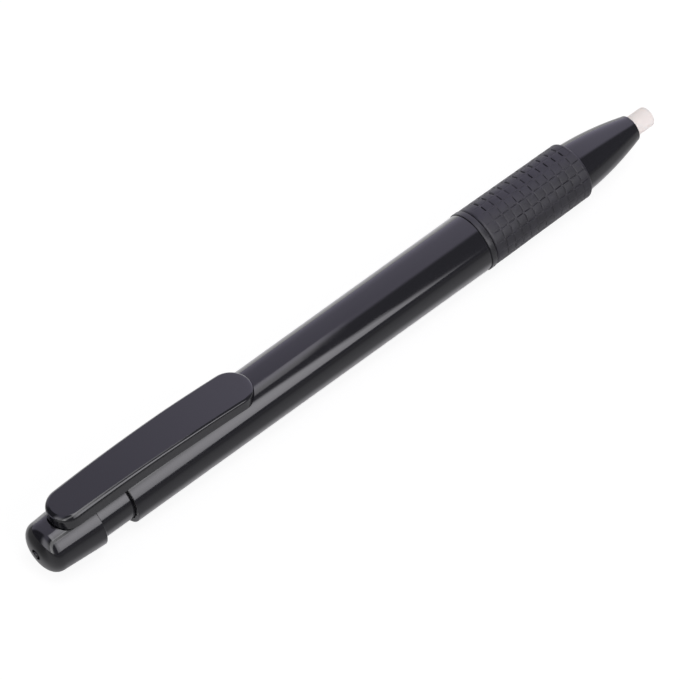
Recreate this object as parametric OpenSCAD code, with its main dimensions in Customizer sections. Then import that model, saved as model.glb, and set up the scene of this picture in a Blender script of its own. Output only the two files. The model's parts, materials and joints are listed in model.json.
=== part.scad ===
// Push-button eraser holder with a round eraser stick, lying along X with its clip on top.
// The tip points to +X, the clip to +Z, and z = 0 is the lowest point of the collar ring.
// Radii are measured from the pen's own axis, and lengths along it.

/* [Outside lengths] */
// Length of the push cap, from its rim to the crown of its end
cap_len = 11.1; // [9:0.1:14]
// Length of plunger tube that shows between the cap and the barrel
press_gap = 6.5; // [6:0.1:9]
// Length of the barrel
barrel_len = 77.6; // [70:0.1:95]
// Width of the ring between barrel and grip
collar_len = 1.3; // [0.8:0.1:2]
// Length of the rubber grip
grip_len = 22.2; // [20:0.1:27]
// Length of the nose cone in front of the grip
nose_len = 13.9; // [12.5:0.1:16]
// Length of eraser that stands out of the nose
eraser_out = 4.2; // [2:0.1:5]

/* [Barrel] */
// Outer radius of the barrel at the button
barrel_rear_r = 5.27; // [5.15:0.01:5.45]
// Outer radius of the barrel at the collar ring
barrel_front_r = 5.5; // [5.35:0.01:5.6]
// Chamfer on the barrel's two end edges
barrel_chamfer = 0.15; // [0.1:0.05:0.3]

/* [Collar and grip] */
// Outer radius of the collar ring
collar_r = 5.65; // [5.6:0.01:5.9]
// Chamfer on the collar ring's edges, which draws the two seams
collar_chamfer = 0.2; // [0.1:0.05:0.3]
// Outer radius of the grip next to the collar ring
grip_rear_r = 5.58; // [5.3:0.01:5.6]
// Outer radius of the grip where its front edge starts to round
grip_front_r = 5.42; // [5.3:0.01:5.6]
// Radius of the grip's rounded front edge
grip_round = 0.6; // [0.3:0.05:0.6]
// Number of pads round the grip
pad_count = 18; // [12:1:20]
// Angle by which the pads are turned about the pen, away from an even start at the clip
pad_turn = -4.5; // [-9:0.5:9]
// Distance from one ring of pads to the next
pad_pitch = 1.78; // [1.6:0.01:2]
// Width of the grooves between the pads
groove_w = 0.32; // [0.2:0.01:0.4]
// Depth of the grooves between the pads
groove_depth = 0.26; // [0.15:0.01:0.4]
// Distance from the last groove round the grip to its front edge
grip_front_band = 2.3; // [1.6:0.1:2.6]

/* [Nose] */
// Outer radius of the nose where it leaves the grip
nose_base_r = 4.76; // [4.7:0.01:4.85]
// Outer radius of the nose at its rim
nose_rim_r = 2.43; // [2.4:0.01:2.6]
// Rounding of the rim's edge
nose_rim_round = 0.3; // [0.1:0.05:0.4]
// How far the cone's outline bows out beside a straight line
nose_bow = 0.38; // [0.2:0.01:0.6]
// Length of the nose's threaded neck inside the grip core
neck_len = 7.6; // [7.2:0.1:8.5]
// Outer radius of the threaded neck
neck_r = 3.65; // [3.6:0.01:3.75]
// Radius of the neck's bore, in which the clutch ring slides
neck_bore_r = 3.15; // [3.14:0.01:3.2]

/* [Eraser and feed] */
// Radius of the eraser stick
eraser_r = 1.9; // [1.85:0.01:1.92]
// Length of a new eraser stick
eraser_len = 85; // [70:1:100]
// Rounding of the eraser's two end edges
eraser_round = 0.45; // [0.1:0.05:0.6]
// Room round the eraser inside the feed tube
feed_room = 0.15; // [0.12:0.01:0.2]
// Wall of the feed tube
feed_wall = 0.5; // [0.45:0.01:0.5]
// Length of the button's stroke
stroke = 5.5; // [5:0.1:5.7]

/* [Button and clip] */
// Outer radius of the tube that shows between cap and barrel
plunger_r = 4.35; // [4.3:0.01:4.38]
// Radius of the plunger tube's narrower end inside the cap
spigot_r = 3.9; // [3.8:0.01:3.95]
// Length of plunger tube hidden in the barrel at rest
plunger_hidden = 12; // [10:0.5:16]
// Outer radius of the cap at its rim
cap_rim_r = 5.22; // [5.1:0.01:5.3]
// Outer radius of the cap where its end begins to round
cap_end_r = 4.7; // [4.65:0.01:4.9]
// Length of the cap's domed end
dome_len = 3.2; // [2.8:0.1:4]
// How square the dome's shoulder is, where 2 is a plain ellipse
dome_power = 2.5; // [2:0.1:3]
// Thickness of the cap's end
cap_end_wall = 2.3; // [2:0.1:2.6]
// Half the width of the notch in the cap
notch_half = 2.88; // [2.7:0.01:3]
// Length of the notch, from the cap's rim to its round end
notch_len = 6.6; // [6.2:0.1:7.6]
// Clearance between the clip's foot and the round end of the notch
foot_room = 0.55; // [0.3:0.05:0.6]
// Radius of the small round recess in the cap's end
recess_r = 0.95; // [0.8:0.01:1.1]
// Depth of the recess
recess_depth = 0.55; // [0.3:0.05:0.8]
// Radius of the nub in the middle of the recess
nub_r = 0.55; // [0.4:0.01:0.6]
// How far the nub stands out of the domed end
nub_out = 0.25; // [0.1:0.05:0.4]

/* [Clip blade] */
// Length of the clip blade
clip_len = 41.3; // [38:0.1:44]
// How far the blade's round end stays in front of the notch's closed end
clip_setback = 0.4; // [0:0.05:0.6]
// Half the width of the blade over most of its length
clip_half = 3.82; // [3.6:0.01:3.9]
// Half the width of the blade at its rear end
clip_rear_half = 3.5; // [3.3:0.01:3.6]
// Length over which the blade widens from its rear end
widen_len = 26; // [20:1:32]
// Height of the blade's crest above the pen's axis
clip_crest = 7.73; // [7.5:0.01:7.9]
// Distance of the crest from the blade's rear end
crest_at = 13.5; // [11:0.1:16]
// Height that the blade's top falls from its crest to its front end
clip_fall = 1.53; // [1.3:0.01:1.6]
// Thickness of the blade's sides at the rear
clip_rear_t = 2.45; // [2.2:0.01:2.5]
// Thickness of the blade's sides at the front
clip_front_t = 1.98; // [1.8:0.01:2.1]
// Bevel along the top edge at the rear
bevel_rear = 0.85; // [0.5:0.01:1]
// Bevel along the top edge at the front
bevel_front = 0.36; // [0.3:0.01:0.5]
// Thickness of the blade's side walls
clip_wall = 1; // [0.8:0.05:1.2]
// Thickness of the blade's roof over its hollow underside
clip_roof = 1.2; // [1:0.05:1.3]
// Length of solid blade at the front, which presses on the pocket
clip_bump_len = 4.5; // [3.5:0.1:6]

/* [Clearances] */
// Radial clearance of parts that slide in each other
slide_room = 0.05; // [0.03:0.01:0.08]
// Radial clearance of parts that are fixed in each other
fixed_room = 0.02; // [0.01:0.01:0.03]
// Gap between end faces that meet
face_room = 0.05; // [0.02:0.01:0.1]
// Gap between the plunger tube and the barrel's bore, wide enough to show as a dark ring
button_room = 0.1; // [0.05:0.01:0.1]
// Gap between the clip and the barrel under it
clip_room = 0.3; // [0.25:0.01:0.4]

/* [Spring] */
// Wire diameter of the return spring
wire_d = 0.45; // [0.35:0.01:0.5]
// Number of turns of the return spring
turns = 12; // [9:1:13]
// Length of the return spring at rest
spring_len = 19.5; // [17:0.5:22]
// Radial room between the return spring and the wall round it
spring_room = 0.2; // [0.15:0.01:0.3]

/* [Hidden] */
$fn = 72;

// Stations along the pen, with x = 0 in the middle of its length
total_len = cap_len + press_gap + barrel_len + collar_len + grip_len + nose_len + eraser_out;
cap_x = -total_len / 2;
cap_rim_x = cap_x + cap_len;
barrel_x = cap_rim_x + press_gap;
collar_x = barrel_x + barrel_len;
grip_x = collar_x + collar_len;
nose_x = grip_x + grip_len;
rim_x = nose_x + nose_len;
tip_x = rim_x + eraser_out;

// Grip core and what it holds
barrel_bore_r = plunger_r + button_room;
core_r = barrel_bore_r - fixed_room;
core_tenon = 10;
core_x = collar_x - core_tenon;
core_bore_r = neck_r + slide_room;
core_rear_bore_r = core_bore_r - 0.1;
neck_x = nose_x - neck_len;
sleeve_len = 17.5;
sleeve_front_x = neck_x - face_room;
sleeve_x = sleeve_front_x - sleeve_len;
sleeve_r = core_bore_r - fixed_room;

// Feed tube, collet and clutch ring
feed_bore_r = eraser_r + feed_room;
feed_r = feed_bore_r + feed_wall;
ring_len = 3;
ring_x = sleeve_front_x + face_room;
ring_r = neck_bore_r - slide_room;
jaw_count = 3;
jaw_slit = 0.4;
jaw_bore_r = eraser_r + slide_room / 2;
jaw_len = 8;
jaw_x = ring_x + ring_len + 1.5 - jaw_len;
jaw_r = feed_r - slide_room;
head_r = jaw_r + 0.3;
stem_len = 7;
stem_x = jaw_x - face_room - stem_len;
joint_len = 4;
joint_r = (feed_bore_r + feed_r) / 2;
ring_travel = stroke / 2;

// Plunger tube, cap and bushes
plunger_x = cap_x + cap_end_wall + face_room;
spigot_front_x = cap_rim_x - 1.5;
plunger_front_x = barrel_x + plunger_hidden;
plunger_wall = 0.9;
plunger_bore_r = plunger_r - plunger_wall;
spigot_bore_r = spigot_r - 0.65;
magazine_x = plunger_x + 1;
rear_bush_len = 1.2;
front_bush_len = 4;
notch_x = cap_rim_x - notch_len + notch_half;

// Spring and its collar
spring_x = sleeve_x - spring_len;
spring_r = core_rear_bore_r - spring_room - wire_d / 2;
spring_collar_len = 2;
spring_collar_r = spring_r + wire_d / 2 + 0.1;

// Clip
clip_x = cap_rim_x - notch_len + clip_setback;
clip_front_x = clip_x + clip_len;
clip_clear_r = barrel_front_r + clip_room;
foot_half = notch_half - foot_room;
foot_front_x = cap_rim_x - 1.5;
peg_x = clip_x + 1.2;
peg_len = 3;
peg_half = 1.1;
peg_room = 0.12;
hook = 0.4;
hook_room = 0.2;
foot_base_r = spigot_r + 0.1;
peg_bottom = feed_r + 0.12;

axis_z = collar_r;

// Revolved shape along the pen from points [radius, x]
module lathe(points) {
    rotate([0, 90, 0])
        rotate_extrude()
            polygon(points);
}

// Tube along the pen
module tube(x0, x1, outer, inner) {
    lathe([[inner, x0], [outer, x0], [outer, x1], [inner, x1]]);
}

// Round rod along the pen, for cuts
module rod(x0, x1, r) {
    translate([x0, 0, 0])
        rotate([0, 90, 0])
            cylinder(r = r, h = x1 - x0);
}

module on_axis() {
    translate([0, 0, axis_z])
        children();
}

// Points of an arc in [radius, x] from angle a0 to a1
function arc(r_mid, x_mid, r, a0, a1, steps) =
    [for (i = [0 : steps])
        let (a = a0 + (a1 - a0) * i / steps)
        [r_mid + r * cos(a), x_mid + r * sin(a)]];

module barrel_tube() {
    c = barrel_chamfer;
    color([0.10, 0.10, 0.12])
        on_axis()
            lathe([[barrel_bore_r, barrel_x],
                   [barrel_rear_r - c, barrel_x],
                   [barrel_rear_r, barrel_x + c],
                   [barrel_front_r, collar_x - c],
                   [barrel_front_r - c, collar_x],
                   [barrel_bore_r, collar_x]]);
}

module collar_ring() {
    c = collar_chamfer;
    color([0.12, 0.12, 0.14])
        on_axis()
            lathe([[core_r + fixed_room, collar_x],
                   [collar_r - c, collar_x],
                   [collar_r, collar_x + c],
                   [collar_r, grip_x - c],
                   [collar_r - c, grip_x],
                   [core_r + fixed_room, grip_x]]);
}

// Grooves round the rubber grip, as many as its length holds, and its radius at a station
groove_min_band = 1;
groove_steps = floor((grip_len - grip_front_band - groove_min_band) / pad_pitch);
groove_first_x = nose_x - grip_front_band - groove_steps * pad_pitch;
groove_land = 0.5;
function grip_r(x) = grip_rear_r + (grip_front_r - grip_rear_r) * (x - grip_x) / (grip_len - grip_round);

// Outline of the rubber sleeve, with one groove for each ring of pads
function grip_outline() = concat(
    [[core_r + fixed_room, grip_x], [grip_r(grip_x), grip_x]],
    [for (i = [0 : groove_steps])
        let (x = groove_first_x + i * pad_pitch)
        for (p = [[0, -groove_w / 2], [groove_depth, -groove_w / 4],
                  [groove_depth, groove_w / 4], [0, groove_w / 2]])
            [grip_r(x) - p[0], x + p[1]]],
    arc(grip_front_r - grip_round, nose_x - grip_round, grip_round, 0, 90, 5),
    [[core_r + fixed_room, nose_x]]);

module rubber_grip() {
    x0 = grip_x + groove_land;
    taper = atan((grip_rear_r - grip_front_r) / (grip_len - grip_round));
    color([0.16, 0.16, 0.17])
        on_axis()
            difference() {
                lathe(grip_outline());
                for (k = [0 : pad_count - 1])
                    rotate([(k + 0.5) * 360 / pad_count + pad_turn, 0, 0])
                        translate([x0, -groove_w / 2, grip_r(x0) - groove_depth])
                            rotate([0, taper, 0])
                                cube([nose_x - grip_round - x0, groove_w, groove_depth + 1]);
            }
}

module grip_core() {
    color([0.25, 0.25, 0.27])
        on_axis()
            lathe([[core_rear_bore_r, core_x],
                   [core_r, core_x],
                   [core_r, nose_x - face_room],
                   [core_bore_r, nose_x - face_room],
                   [core_bore_r, sleeve_x - fixed_room],
                   [core_rear_bore_r, sleeve_x - fixed_room]]);
}

module guide_sleeve() {
    tube_r = feed_r + slide_room;
    color([0.80, 0.80, 0.78])
        on_axis()
            tube(sleeve_x, sleeve_front_x, sleeve_r, tube_r);
}

// Outer radius of the nose at a share of its length, a gently bowed cone
function nose_r(s) = nose_base_r + (nose_rim_r - nose_base_r) * s + 4 * nose_bow * s * (1 - s);

brake_r = 3;
brake_len = 3;
brake_x = jaw_x + jaw_len + stroke + 0.8;
brake_front_x = brake_x + brake_len;
shoulder_r = 2.5;
guide_bore_r = eraser_r + slide_room;
guide_len = 3.4;

module nose_cone() {
    steps = 20;
    round_s = 1 - nose_rim_round / nose_len;
    ring_stop_x = ring_x + ring_len + ring_travel + face_room;
    color([0.10, 0.10, 0.12])
        on_axis()
            lathe(concat(
                [[neck_bore_r, neck_x], [neck_r, neck_x], [neck_r, nose_x], [nose_base_r, nose_x]],
                [for (i = [1 : steps]) [nose_r(round_s * i / steps), nose_x + nose_len * round_s * i / steps]],
                arc(nose_r(round_s) - nose_rim_round, rim_x - nose_rim_round, nose_rim_round, 20, 90, 4),
                [[guide_bore_r, rim_x],
                 [guide_bore_r, rim_x - guide_len],
                 [shoulder_r, brake_front_x + face_room],
                 [brake_r + fixed_room, brake_front_x + face_room],
                 [brake_r + fixed_room, ring_stop_x],
                 [neck_bore_r, ring_stop_x]]));
}

module eraser_brake() {
    ridge = 0.25;
    bore = eraser_r + slide_room / 2;
    color([0.30, 0.30, 0.30])
        on_axis()
            lathe([[bore + ridge, brake_x],
                   [brake_r, brake_x],
                   [brake_r, brake_front_x],
                   [bore + ridge, brake_front_x],
                   [bore, brake_front_x - brake_len / 3],
                   [bore, brake_x + brake_len / 3]]);
}

module eraser_stick() {
    x0 = tip_x - eraser_len;
    c = eraser_round;
    color([0.92, 0.90, 0.89])
        on_axis()
            lathe(concat(
                [[0, x0]],
                arc(eraser_r - c, x0 + c, c, -90, 0, 4),
                arc(eraser_r - c, tip_x - c, c, 0, 90, 4),
                [[0, tip_x]]));
}

module magazine_tube() {
    front_x = stem_x + joint_len;
    color([0.85, 0.85, 0.84])
        on_axis()
            lathe([[feed_bore_r, magazine_x],
                   [feed_r, magazine_x],
                   [feed_r, front_x],
                   [joint_r, front_x],
                   [joint_r, stem_x],
                   [feed_bore_r, stem_x]]);
}

module collet_stem() {
    front_x = stem_x + joint_len;
    color([0.75, 0.60, 0.30])
        on_axis()
            lathe([[jaw_bore_r, stem_x + face_room],
                   [joint_r - fixed_room, stem_x + face_room],
                   [joint_r - fixed_room, front_x + face_room],
                   [jaw_r, front_x + face_room],
                   [jaw_r, jaw_x - face_room],
                   [jaw_bore_r, jaw_x - face_room]]);
}

// One collet jaw, which stands on the +Z side and is turned about the pen to its place
module jaw(k) {
    half_angle = 180 / jaw_count;
    apex = jaw_slit / 2 / sin(half_angle);
    reach = 3 * head_r;
    front_x = jaw_x + jaw_len;
    teeth = 4;
    tooth = 0.12;
    tooth_pitch = 0.6;
    teeth_x = front_x - teeth * tooth_pitch - 0.2;
    color([0.75, 0.60, 0.30])
        on_axis()
            rotate([k * 360 / jaw_count, 0, 0])
                intersection() {
                    lathe(concat(
                        [[jaw_bore_r, jaw_x], [jaw_r, jaw_x], [jaw_r, ring_x],
                         [head_r, ring_x + ring_len], [head_r, front_x - 0.3],
                         [head_r - 0.3, front_x], [jaw_bore_r, front_x]],
                        [for (i = [teeth - 1 : -1 : 0])
                            for (p = [[tooth, 0.75], [0, 0]])
                                [jaw_bore_r + p[0], teeth_x + (i + p[1]) * tooth_pitch]]));
                    translate([jaw_x - 1, 0, 0])
                        rotate([90, 0, 90])
                            linear_extrude(jaw_len + 2)
                                polygon([[0, apex],
                                         [reach * sin(half_angle), apex + reach * cos(half_angle)],
                                         [-reach * sin(half_angle), apex + reach * cos(half_angle)]]);
                }
}

module jaw_1() {
    jaw(0);
}

module jaw_2() {
    jaw(1);
}

module jaw_3() {
    jaw(2);
}

module clutch_ring() {
    c = 0.1;
    color([0.72, 0.56, 0.28])
        on_axis()
            lathe([[jaw_r + slide_room, ring_x],
                   [ring_r - c, ring_x],
                   [ring_r, ring_x + c],
                   [ring_r, ring_x + ring_len - c],
                   [ring_r - c, ring_x + ring_len],
                   [head_r + slide_room, ring_x + ring_len]]);
}

module spring_collar() {
    color([0.85, 0.85, 0.84])
        on_axis()
            tube(spring_x - spring_collar_len, spring_x - fixed_room, spring_collar_r, feed_r + fixed_room);
}

// Helix of the return spring, as rings of points square to the wire
wire_sides = 6;
rings_per_turn = 8;
spring_pitch = (spring_len - wire_d) / turns;
function helix(a) = [spring_x + wire_d / 2 + spring_pitch * a / 360,
                     spring_r * cos(a), spring_r * sin(a)];
function wire_ring(a) =
    let (lead = atan(spring_pitch / (2 * PI * spring_r)),
         out = [0, cos(a), sin(a)],
         side = [cos(lead), sin(lead) * sin(a), -sin(lead) * cos(a)])
    [for (j = [0 : wire_sides - 1])
        let (b = j * 360 / wire_sides)
        helix(a) + wire_d / 2 * (cos(b) * out + sin(b) * side)];

// Least gap between neighbouring turns, measured between points of the wire's centre line
spring_gap = min([for (i = [-3 : 3])
    norm(helix(360 + i * 360 / rings_per_turn) - helix(0))]) - wire_d;
echo(least_gap_of_return_spring_mm = spring_gap);

module return_spring() {
    count = turns * rings_per_turn + 1;
    points = [for (i = [0 : count - 1]) each wire_ring(i * 360 / rings_per_turn)];
    sides = [for (i = [0 : count - 2])
        for (j = [0 : wire_sides - 1])
            let (a = i * wire_sides + j,
                 b = i * wire_sides + (j + 1) % wire_sides)
            each [[a, b, b + wire_sides], [a, b + wire_sides, a + wire_sides]]];
    last = (count - 1) * wire_sides;
    ends = [for (j = [1 : wire_sides - 2])
        each [[0, j + 1, j], [last, last + j, last + j + 1]]];
    color([0.75, 0.76, 0.78])
        on_axis()
            polyhedron(points, concat(sides, ends));
}

module plunger_tube() {
    c = 0.2;
    color([0.10, 0.10, 0.12])
        on_axis()
            difference() {
                lathe([[spigot_bore_r, plunger_x],
                       [spigot_r - c, plunger_x],
                       [spigot_r, plunger_x + c],
                       [spigot_r, spigot_front_x],
                       [plunger_r, spigot_front_x],
                       [plunger_r, plunger_front_x - c],
                       [plunger_r - c, plunger_front_x],
                       [plunger_bore_r, plunger_front_x],
                       [plunger_bore_r, spigot_front_x + 1],
                       [spigot_bore_r, spigot_front_x + 1]]);
                translate([peg_x - peg_room, -peg_half - peg_room, 0])
                    cube([peg_len + 2 * peg_room, 2 * (peg_half + peg_room), plunger_r + 1]);
            }
}

module rear_bush() {
    color([0.70, 0.70, 0.72])
        on_axis()
            tube(magazine_x, magazine_x + rear_bush_len, spigot_bore_r - fixed_room, feed_r + fixed_room);
}

module front_bush() {
    x1 = plunger_front_x - 1;
    color([0.70, 0.70, 0.72])
        on_axis()
            tube(x1 - front_bush_len, x1, plunger_bore_r - fixed_room, feed_r + fixed_room);
}

// Plan of the notch and of the clip's foot: a round rear end, and a square front end at x1
module notch_plan(half, x1) {
    rear_x = notch_x - half;
    intersection() {
        union() {
            translate([notch_x, 0])
                circle(r = half);
            translate([notch_x, -half])
                square([x1 - notch_x, 2 * half]);
        }
        translate([rear_x, -half])
            square([x1 - rear_x, 2 * half]);
    }
}

module push_cap() {
    steps = 14;
    c = 0.12;
    dome_x = cap_x + dome_len;
    dome_rise = dome_len - nub_out;
    inner_x = cap_x + cap_end_wall;
    recess_x = cap_x + nub_out + recess_depth;
    color([0.10, 0.10, 0.12])
        on_axis() {
            difference() {
                lathe(concat(
                    [[plunger_r + slide_room, cap_rim_x],
                     [cap_rim_r - c, cap_rim_x],
                     [cap_rim_r, cap_rim_x - c]],
                    [for (i = [0 : steps])
                        let (a = 90 * i / steps)
                        [cap_end_r * pow(cos(a), 2 / dome_power),
                         dome_x - dome_rise * pow(sin(a), 2 / dome_power)]],
                    [[0, inner_x],
                     [spigot_r + slide_room, inner_x],
                     [spigot_r + slide_room, spigot_front_x - face_room],
                     [plunger_r + slide_room, spigot_front_x - face_room]]));
                linear_extrude(2 * cap_rim_r)
                    notch_plan(notch_half, cap_rim_x + 1);
                rod(cap_x - 1, recess_x, recess_r);
            }
            lathe([[0, cap_x],
                   [nub_r - c, cap_x],
                   [nub_r, cap_x + c],
                   [nub_r, recess_x + 0.2],
                   [0, recess_x + 0.2]]);
        }
}

// Height of the blade's top, its side thickness, half width and bevel at a station
function clip_top(x) = clip_crest - clip_fall * pow((x - clip_x - crest_at) / (clip_len - crest_at), 2);
function clip_t(x) = clip_rear_t + (clip_front_t - clip_rear_t) * (x - clip_x) / clip_len;
function clip_side(x) = clip_rear_half + (clip_half - clip_rear_half) * min(1, (x - clip_x) / widen_len);
function clip_bevel(x) = bevel_front + (bevel_rear - bevel_front) * pow((clip_front_x - x) / clip_len, 2);

// Half width at a station, with both ends round in plan, for an outline drawn in by inset
function round_half(x, inset) =
    let (from_rear = x - clip_x,
         from_front = clip_front_x - x)
    from_rear < clip_rear_half ? sqrt(max(0, pow(clip_rear_half - inset, 2) - pow(clip_rear_half - from_rear, 2))) :
    from_front < clip_half ? sqrt(max(0, pow(clip_half - inset, 2) - pow(clip_half - from_front, 2))) :
    clip_side(x) - inset;

// Cross-section of the bevelled blade at a station, as points [y, z]
function blade_section(x) =
    let (to_end = min(x - clip_x, clip_front_x - x),
         bevel = clip_bevel(x),
         side_top = clip_top(x) - bevel,
         half = round_half(x, 0),
         top_half = max(0.02, round_half(x, bevel)),
         top = side_top + min(bevel, to_end),
         bottom = clip_top(x) - clip_t(x))
    [[-half, bottom], [-half, side_top], [-top_half, top],
     [top_half, top], [half, side_top], [half, bottom]];

// Cross-section of the hollow under the blade
function hollow_section(x) =
    let (half = clip_side(x) - clip_wall,
         top = clip_top(x) - clip_roof)
    [[-half, 0], [-half, top], [half, top], [half, 0]];

// Solid through a row of cross-sections, each a list of points [y, z]
module loft(stations, sections) {
    n = len(sections[0]);
    last = (len(stations) - 1) * n;
    points = [for (i = [0 : len(stations) - 1])
        for (p = sections[i])
            [stations[i], p[0], p[1]]];
    sides = [for (i = [0 : len(stations) - 2])
        for (j = [0 : n - 1])
            let (a = i * n + j,
                 b = i * n + (j + 1) % n)
            each [[a, b, b + n], [a, b + n, a + n]]];
    ends = [for (j = [1 : n - 2])
        each [[0, j + 1, j], [last, last + j, last + j + 1]]];
    polyhedron(points, concat(sides, ends));
}

// Stations along the blade, close together round its two ends
function blade_stations() = concat(
    [for (a = [8 : 10 : 88]) clip_x + clip_rear_half * (1 - cos(a))],
    [for (i = [0 : 10]) clip_x + clip_rear_half + (clip_len - clip_rear_half - clip_half) * i / 10],
    [for (a = [88 : -10 : 8]) clip_front_x - clip_half * (1 - cos(a))]);

// Room under the blade for the cap, the plunger tube and the barrel
module under_clip() {
    room = 0.2;
    lathe([[0, clip_x - 1],
           [cap_end_r + room, clip_x - 1],
           [cap_rim_r + room, cap_rim_x],
           [clip_clear_r, cap_rim_x + 1],
           [clip_clear_r, clip_front_x + 1],
           [0, clip_front_x + 1]]);
}

module clip() {
    stations = blade_stations();
    hollow_x = [for (i = [0 : 8])
        foot_front_x + 0.5 + (clip_front_x - clip_bump_len - foot_front_x - 0.5) * i / 8];
    foot_top = clip_top(notch_x) - clip_roof;
    color([0.10, 0.10, 0.12])
        on_axis() {
            difference() {
                loft(stations, [for (x = stations) blade_section(x)]);
                loft(hollow_x, [for (x = hollow_x) hollow_section(x)]);
                under_clip();
            }
            difference() {
                linear_extrude(foot_top)
                    notch_plan(foot_half, foot_front_x);
                rod(clip_x - 1, foot_front_x + 1, foot_base_r);
            }
            translate([peg_x, -peg_half, peg_bottom])
                cube([peg_len, 2 * peg_half, foot_base_r - peg_bottom + 0.5]);
            intersection() {
                translate([peg_x, -peg_half, peg_bottom])
                    cube([peg_len + hook, 2 * peg_half, 1]);
                rod(peg_x - 1, peg_x + peg_len + 1, spigot_bore_r - hook_room);
            }
        }
}

push_cap();
clip();
plunger_tube();
barrel_tube();
collar_ring();
rubber_grip();
nose_cone();
eraser_stick();
grip_core();
guide_sleeve();
return_spring();
spring_collar();
magazine_tube();
rear_bush();
front_bush();
collet_stem();
jaw_1();
jaw_2();
jaw_3();
clutch_ring();
eraser_brake();
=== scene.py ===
"""Looks of a push-button eraser holder lying on its collar ring, with its clip on top.

The shapes are worked out in millimetres from the pen's own axis: x runs along the pen to the
eraser's tip, z points up to the clip, and y points away from the side that the photograph shows.
make_piece() puts them in the part's frame, in metres.
"""

import json
import math

import bpy
import numpy as np
from mathutils import Matrix, Vector, noise

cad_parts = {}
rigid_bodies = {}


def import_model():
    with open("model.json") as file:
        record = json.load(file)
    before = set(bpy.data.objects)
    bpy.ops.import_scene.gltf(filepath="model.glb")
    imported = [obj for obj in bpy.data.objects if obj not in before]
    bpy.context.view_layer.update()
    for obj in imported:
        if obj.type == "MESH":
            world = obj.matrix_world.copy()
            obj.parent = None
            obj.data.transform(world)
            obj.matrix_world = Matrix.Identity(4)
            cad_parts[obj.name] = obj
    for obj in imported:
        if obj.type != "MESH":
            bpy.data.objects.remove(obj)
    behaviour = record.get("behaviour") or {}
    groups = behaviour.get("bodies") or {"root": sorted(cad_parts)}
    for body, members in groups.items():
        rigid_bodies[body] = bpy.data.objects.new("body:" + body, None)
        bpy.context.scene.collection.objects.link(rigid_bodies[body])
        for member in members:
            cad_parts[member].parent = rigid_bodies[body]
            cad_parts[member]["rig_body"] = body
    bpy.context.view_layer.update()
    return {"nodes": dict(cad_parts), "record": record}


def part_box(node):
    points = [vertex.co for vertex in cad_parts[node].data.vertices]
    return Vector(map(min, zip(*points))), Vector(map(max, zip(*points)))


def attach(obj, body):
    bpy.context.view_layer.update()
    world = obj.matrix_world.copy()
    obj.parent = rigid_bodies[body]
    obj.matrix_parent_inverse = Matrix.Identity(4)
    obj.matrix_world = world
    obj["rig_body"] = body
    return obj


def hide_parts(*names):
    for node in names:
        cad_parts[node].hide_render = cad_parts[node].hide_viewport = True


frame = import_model()
NODES = frame["nodes"]
MM = 0.001
AXIS_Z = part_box("collar_ring")[1].z / 2

# The photograph's view, found from the ellipses of the pen's seams
VIEW_AZIMUTH = math.radians(-35.85)
VIEW_ELEVATION = math.radians(50.24)
VIEW_ROLL = math.radians(-6.65)
VIEW_DISTANCE = 717.3 * MM
VIEW_LENS = 226.6
VIEW_AIM = Vector((-3.118 * MM, -0.389 * MM, AXIS_Z - 0.271 * MM))


def ends(node):
    """Stations of a CAD piece's rear and front ends."""
    low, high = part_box(node)
    return low.x / MM, high.x / MM


def radius_at(node, station, reach=0.4):
    """Largest radius of a CAD piece within reach of a station."""
    mesh = NODES[node].data
    places = np.empty(len(mesh.vertices) * 3)
    mesh.vertices.foreach_get("co", places)
    places = places.reshape(-1, 3)
    near = places[np.abs(places[:, 0] / MM - station) < reach]
    return float(np.hypot(near[:, 1], near[:, 2] - AXIS_Z).max()) / MM


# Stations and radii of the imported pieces
CAP_REAR, CAP_RIM = ends("push_cap")
BARREL_REAR, BARREL_FRONT = ends("barrel_tube")
COLLAR_REAR, COLLAR_FRONT = ends("collar_ring")
GRIP_REAR, GRIP_FRONT = ends("rubber_grip")
CORE_REAR = ends("grip_core")[0]
NECK_REAR, RIM = ends("nose_cone")
ERASER_REAR, TIP = ends("eraser_stick")
CLIP_FRONT = ends("clip")[1]
BARREL_REAR_R = radius_at("barrel_tube", BARREL_REAR)
BARREL_FRONT_R = radius_at("barrel_tube", BARREL_FRONT)
COLLAR_R = AXIS_Z / MM
GRIP_REAR_R = radius_at("rubber_grip", GRIP_REAR)
GRIP_ROUND = 0.6
GRIP_FRONT_R = radius_at("rubber_grip", GRIP_FRONT - GRIP_ROUND, 0.1)
CORE_R = radius_at("grip_core", CORE_REAR, 2)
NECK_R = radius_at("nose_cone", NECK_REAR)
NOSE_BASE_R = radius_at("nose_cone", GRIP_FRONT, 0.05)
ERASER_R = radius_at("eraser_stick", TIP - 2, 3)
CAP_RIM_R = radius_at("push_cap", CAP_RIM)
PLUNGER_R = radius_at("plunger_tube", CAP_RIM, 20)


def view_axes():
    """Camera's right, up and backward directions in the part's frame."""
    ca, sa = math.cos(VIEW_AZIMUTH), math.sin(VIEW_AZIMUTH)
    ce, se = math.cos(VIEW_ELEVATION), math.sin(VIEW_ELEVATION)
    back = Vector((sa * ce, -ca * ce, se))
    level_right = Vector((ca, sa, 0))
    level_up = back.cross(level_right)
    cr, sr = math.cos(VIEW_ROLL), math.sin(VIEW_ROLL)
    right = cr * level_right + sr * level_up
    return right, back.cross(right), back


def add_object(name, data):
    made = bpy.data.objects.new(name, data)
    bpy.context.scene.collection.objects.link(made)
    return made


def make_camera():
    right, up, back = view_axes()
    data = bpy.data.cameras.new("photo_camera")
    data.lens = VIEW_LENS
    data.sensor_width = 36
    data.clip_start = 0.05
    data.clip_end = 20
    camera = add_object("photo_camera", data)
    turn = Matrix((right, up, back)).transposed()
    camera.matrix_world = Matrix.Translation(VIEW_AIM + back * VIEW_DISTANCE) @ turn.to_4x4()
    bpy.context.scene.camera = camera


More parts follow.
